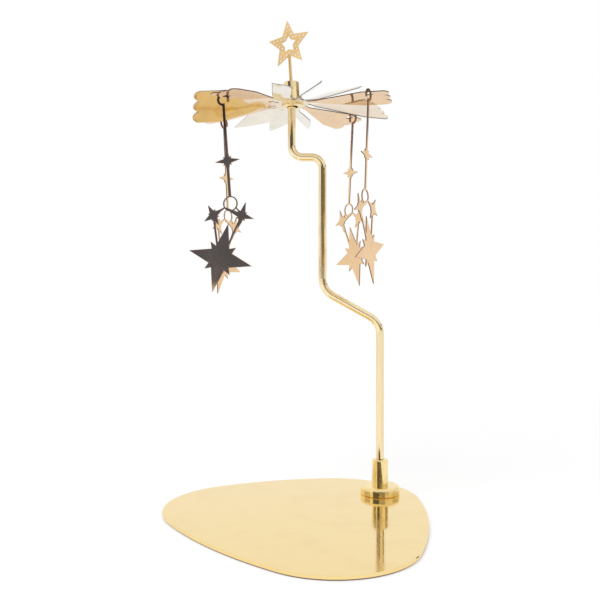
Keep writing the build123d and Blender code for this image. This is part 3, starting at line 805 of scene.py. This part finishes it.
class CAROUSEL_OT_rotor(bpy.types.Operator):
    """Make the rotor's sheet with its twisted blades and wings"""

    bl_idname = "carousel.rotor"
    bl_label = "Rotor sheet"

    def execute(self, context):
        finish = context.scene.carousel_finish
        # Painted reflection: the sheet and its edges take their tones by blade kind.
        material = rolled_sheet(finish, "blade_brass_rolled", finish.blade_brass_and_reflection, finish.wing_brass_and_reflection,
                                painted_tone_socket, BLADE_ROLLING, BLADE_WAVES)
        edge = cut_edge("blade_edge_etched", finish.grey_edge_shade, finish.dark_edge_shade, painted_tone_socket)
        dress(["rotor_blades"], material)
        sheet = rotor_sheet(context.scene.carousel_rotor, material, edge)
        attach(sheet, "rotor")
        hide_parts("rotor_blades")
        return {"FINISHED"}


class CAROUSEL_OT_finial(bpy.types.Operator):
    """Make the star on top and finish its wire"""

    bl_idname = "carousel.finial"
    bl_label = "Finial"

    def execute(self, context):
        finish = context.scene.carousel_finish
        dress(["finial_wire"], drawn_wire(finish, "wire_brass_drawn", finish.finial_colour))
        material = rolled_sheet(finish, "finial_brass_gilt", finish.finial_colour,
                                scaled(finish.finial_colour, 0.9), cloud_share, UPRIGHT_ROLLING,
                                FINIAL_WAVES)
        # Painted highlight: the star's cut edges are paler.
        edge = cut_edge("finial_edge_filed", finish.finial_edge_highlight, scaled(finish.finial_edge_highlight, 0.9),
                        cloud_share)
        dress(["finial_star"], material)
        star = softened("finial_star", "gilt_star", finish.finial_softness, material, edge)
        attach(star, "rotor")
        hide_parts("finial_star")
        return {"FINISHED"}


class CAROUSEL_OT_pendants(bpy.types.Operator):
    """Make the four star pendants"""

    bl_idname = "carousel.pendants"
    bl_label = "Star pendants"

    def execute(self, context):
        finish = context.scene.carousel_finish
        # Painted shade: the pendants darken above a height, on their faces and their edges.
        darkening_by_height = height_share(finish.dark_shade_from, finish.dark_shade_full)
        material = rolled_sheet(finish, "pendant_brass_rolled", finish.pendant_colour,
                                finish.pendant_dark_shade, darkening_by_height, UPRIGHT_ROLLING, PENDANT_WAVES)
        # Painted shade: the pendants' cut edges are dark.
        edge = cut_edge("pendant_edge_etched", scaled(finish.dark_edge_shade, 1.5), finish.dark_edge_shade,
                        darkening_by_height)
        for node, body in PENDANTS.items():
            dress([node], material)
            piece = softened(node, body + "_stars", finish.pendant_softness, material, edge)
            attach(piece, body)
            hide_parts(node)
        return {"FINISHED"}


# Stage

# Unlit panes of the room that the brass reflects: their colour's setting, their left and right
# bearings in degrees to the right of the camera's side, and the sines of their lower and upper
# heights. The gap in the upper beam is where the star on top reflects the lit room.
DARK_PANES = (
    ("curtain_colour", -30, 84, 0.115, 0.195),
    ("curtain_colour", -18, 46, 0.030, 0.115),
    ("beam_colour", -41, 46, 0.195, 0.232),
    ("beam_colour", -41, 22, 0.232, 0.276),
    ("door_colour", -47, -31, 0.022, 0.285),
    ("beam_colour", -110, -68, 0.284, 0.350),
    ("beam_colour", -48, -14, 0.284, 0.350),
    ("curtain_colour", 74, 130, 0.284, 0.350),
)

# Over how many degrees and how much sine a pane's border fades.
SOFT_BEARING, SOFT_LEVEL = 3, 0.012

# How far the table top glows white to the camera and in the brass: its share close to the object
# and far away, and the distances in metres between which it changes.
CAMERA_GLOW = {"low": 0.5, "high": 1.0, "start": 0.12, "end": 0.5}
MIRROR_GLOW = {"low": 0.0, "high": 1.0, "start": 0.3, "end": 0.9}

WHITE = (1, 1, 1, 1)
TABLE_STEPS = 64


def window(tree, value, low, high, border):
    """One between two values, easing to nought over a border at both ends."""
    rise = spread(tree, value, 0, 1, start=low - border, end=low)
    fall = spread(tree, value, 1, 0, start=high, end=high + border)
    return maths(tree, "MULTIPLY", rise, fall)


def mixed(tree, factor, first, second):
    """Two shaders mixed by a factor."""
    return add(tree, "ShaderNodeMixShader", {0: factor, 1: first, 2: second}).outputs["Shader"]


def room(stage):
    """White room for the camera; the brass also reflects its unlit front side."""
    world = bpy.data.worlds.new("studio_room")
    world.use_nodes = True
    tree = world.node_tree
    tree.nodes.clear()
    coord = add(tree, "ShaderNodeTexCoord")
    parts = add(tree, "ShaderNodeSeparateXYZ", {"Vector": coord.outputs["Generated"]}).outputs
    bearing = maths(tree, "ARCTAN2", parts["X"], maths(tree, "MULTIPLY", parts["Y"], -1.0))
    seen = WHITE[:3]
    for name, left, right, low, high in DARK_PANES:
        sides = window(tree, bearing, radians(left), radians(right), radians(SOFT_BEARING))
        levels = window(tree, parts["Z"], low, high, SOFT_LEVEL)
        seen = tone(tree, maths(tree, "MULTIPLY", sides, levels), seen, getattr(stage, name))
    paths = add(tree, "ShaderNodeLightPath").outputs
    mirrored = add(tree, "ShaderNodeBackground", {"Color": seen, "Strength": 1.0})
    backdrop = add(tree, "ShaderNodeBackground", {"Color": WHITE, "Strength": 1.0})
    soft = add(tree, "ShaderNodeBackground", {"Color": WHITE, "Strength": stage.room_level})
    reflected = maths(tree, "MAXIMUM", paths["Is Glossy Ray"], paths["Is Transmission Ray"])
    unseen = mixed(tree, reflected, soft.outputs["Background"], mirrored.outputs["Background"])
    surface = mixed(tree, paths["Is Camera Ray"], unseen, backdrop.outputs["Background"])
    add(tree, "ShaderNodeOutputWorld", {"Surface": surface})
    bpy.context.scene.world = world


def floor_finish(stage):
    """Pale table top that shows white to the camera and in the brass, and keeps the shadow."""
    material = bpy.data.materials.new("table_top_pale")
    material.use_nodes = True
    tree = material.node_tree
    shader = tree.nodes["Principled BSDF"]
    where = place(tree)
    tree.links.new(tone(tree, noise(tree, where, scale=9), stage.floor_colour,
                        scaled(stage.floor_colour, 0.99)), shader.inputs["Base Color"])
    shader.inputs["Roughness"].default_value = 0.9
    shader.inputs["Specular IOR Level"].default_value = 0.1
    away = add(tree, "ShaderNodeVectorMath", {0: where}, operation="LENGTH").outputs["Value"]
    paths = add(tree, "ShaderNodeLightPath").outputs
    to_camera = maths(tree, "MULTIPLY", paths["Is Camera Ray"], spread(tree, away, **CAMERA_GLOW))
    to_brass = maths(tree, "MULTIPLY", paths["Is Glossy Ray"], spread(tree, away, **MIRROR_GLOW))
    glow = add(tree, "ShaderNodeEmission", {"Color": WHITE, "Strength": 1.0})
    surface = mixed(tree, maths(tree, "MAXIMUM", to_camera, to_brass), shader.outputs["BSDF"],
                    glow.outputs["Emission"])
    tree.links.new(surface, tree.nodes["Material Output"].inputs["Surface"])
    return material


def table_top(stage):
    """Round table top under the plate."""
    shape = bmesh.new()
    bmesh.ops.create_circle(shape, cap_ends=True, segments=TABLE_STEPS, radius=stage.floor_radius,
                            matrix=Matrix.Translation((0, 0, -stage.floor_drop)))
    mesh = bpy.data.meshes.new("table_top")
    shape.to_mesh(mesh)
    shape.free()
    mesh.materials.append(floor_finish(stage))
    return helper("table_top", mesh)


def lamp(name, power, size, location, target):
    """Soft area lamp aimed at a point; it isn't seen in the brass."""
    data = bpy.data.lights.new(name, "AREA")
    data.energy = power
    data.shape = "DISK"
    data.size = size
    obj = bpy.data.objects.new(name, data)
    obj.location = location
    aim = Vector(target) - Vector(location)
    obj.rotation_euler = aim.to_track_quat("-Z", "Y").to_euler()
    obj.visible_glossy = False
    bpy.context.scene.collection.objects.link(obj)


def level_camera(name, lens, location):
    """Level camera that looks along +Y, made the scene's own."""
    data = bpy.data.cameras.new(name)
    data.lens = lens
    data.clip_start = 10 * MM
    obj = bpy.data.objects.new(name, data)
    obj.location = location
    obj.rotation_euler = (radians(90), 0, 0)
    bpy.context.scene.collection.objects.link(obj)
    bpy.context.scene.camera = obj


class CAROUSEL_OT_stage(bpy.types.Operator):
    """Set the floor, the light and the camera"""

    bl_idname = "carousel.stage"
    bl_label = "Stage"

    def execute(self, context):
        stage = context.scene.carousel_stage
        table_top(stage)
        room(stage)
        lamp("key_lamp", stage.key_power, stage.key_size, stage.key_place, stage.key_target)
        level_camera("photo_camera", stage.lens, stage.camera_place)
        context.scene.view_settings.view_transform = "Standard"
        return {"FINISHED"}


# Panel

STEPS = (CAROUSEL_OT_plate, CAROUSEL_OT_foot, CAROUSEL_OT_rod, CAROUSEL_OT_hub, CAROUSEL_OT_rotor,
         CAROUSEL_OT_finial, CAROUSEL_OT_pendants, CAROUSEL_OT_stage)


class CAROUSEL_PT_panel(bpy.types.Panel):
    """Settings and steps of the carousel."""

    bl_idname = "CAROUSEL_PT_panel"
    bl_label = "Star carousel"
    bl_space_type = "VIEW_3D"
    bl_region_type = "UI"
    bl_category = "Carousel"

    def draw(self, context):
        scene = context.scene
        for group in (scene.carousel_finish, scene.carousel_rotor, scene.carousel_stage):
            box = self.layout.box()
            for name in group.__annotations__:
                box.prop(group, name)
        for step in STEPS:
            self.layout.operator(step.bl_idname)


CLASSES = (CarouselFinish, CarouselRotor, CarouselStage, *STEPS, CAROUSEL_PT_panel)


def register():
    """Registers the classes and gives the scene its settings."""
    for item in CLASSES:
        bpy.utils.register_class(item)
    bpy.types.Scene.carousel_finish = bpy.props.PointerProperty(type=CarouselFinish)
    bpy.types.Scene.carousel_rotor = bpy.props.PointerProperty(type=CarouselRotor)
    bpy.types.Scene.carousel_stage = bpy.props.PointerProperty(type=CarouselStage)


def unregister():
    """Takes the settings and the classes away again."""
    del bpy.types.Scene.carousel_stage
    del bpy.types.Scene.carousel_rotor
    del bpy.types.Scene.carousel_finish
    for item in reversed(CLASSES):
        bpy.utils.unregister_class(item)


def main():
    """Dresses the model piece by piece."""
    register()
    bpy.ops.carousel.plate()
    bpy.ops.carousel.foot()
    bpy.ops.carousel.rod()
    bpy.ops.carousel.hub()
    bpy.ops.carousel.rotor()
    bpy.ops.carousel.finial()
    bpy.ops.carousel.pendants()
    bpy.ops.carousel.stage()


if __name__ == "__main__":
    main()
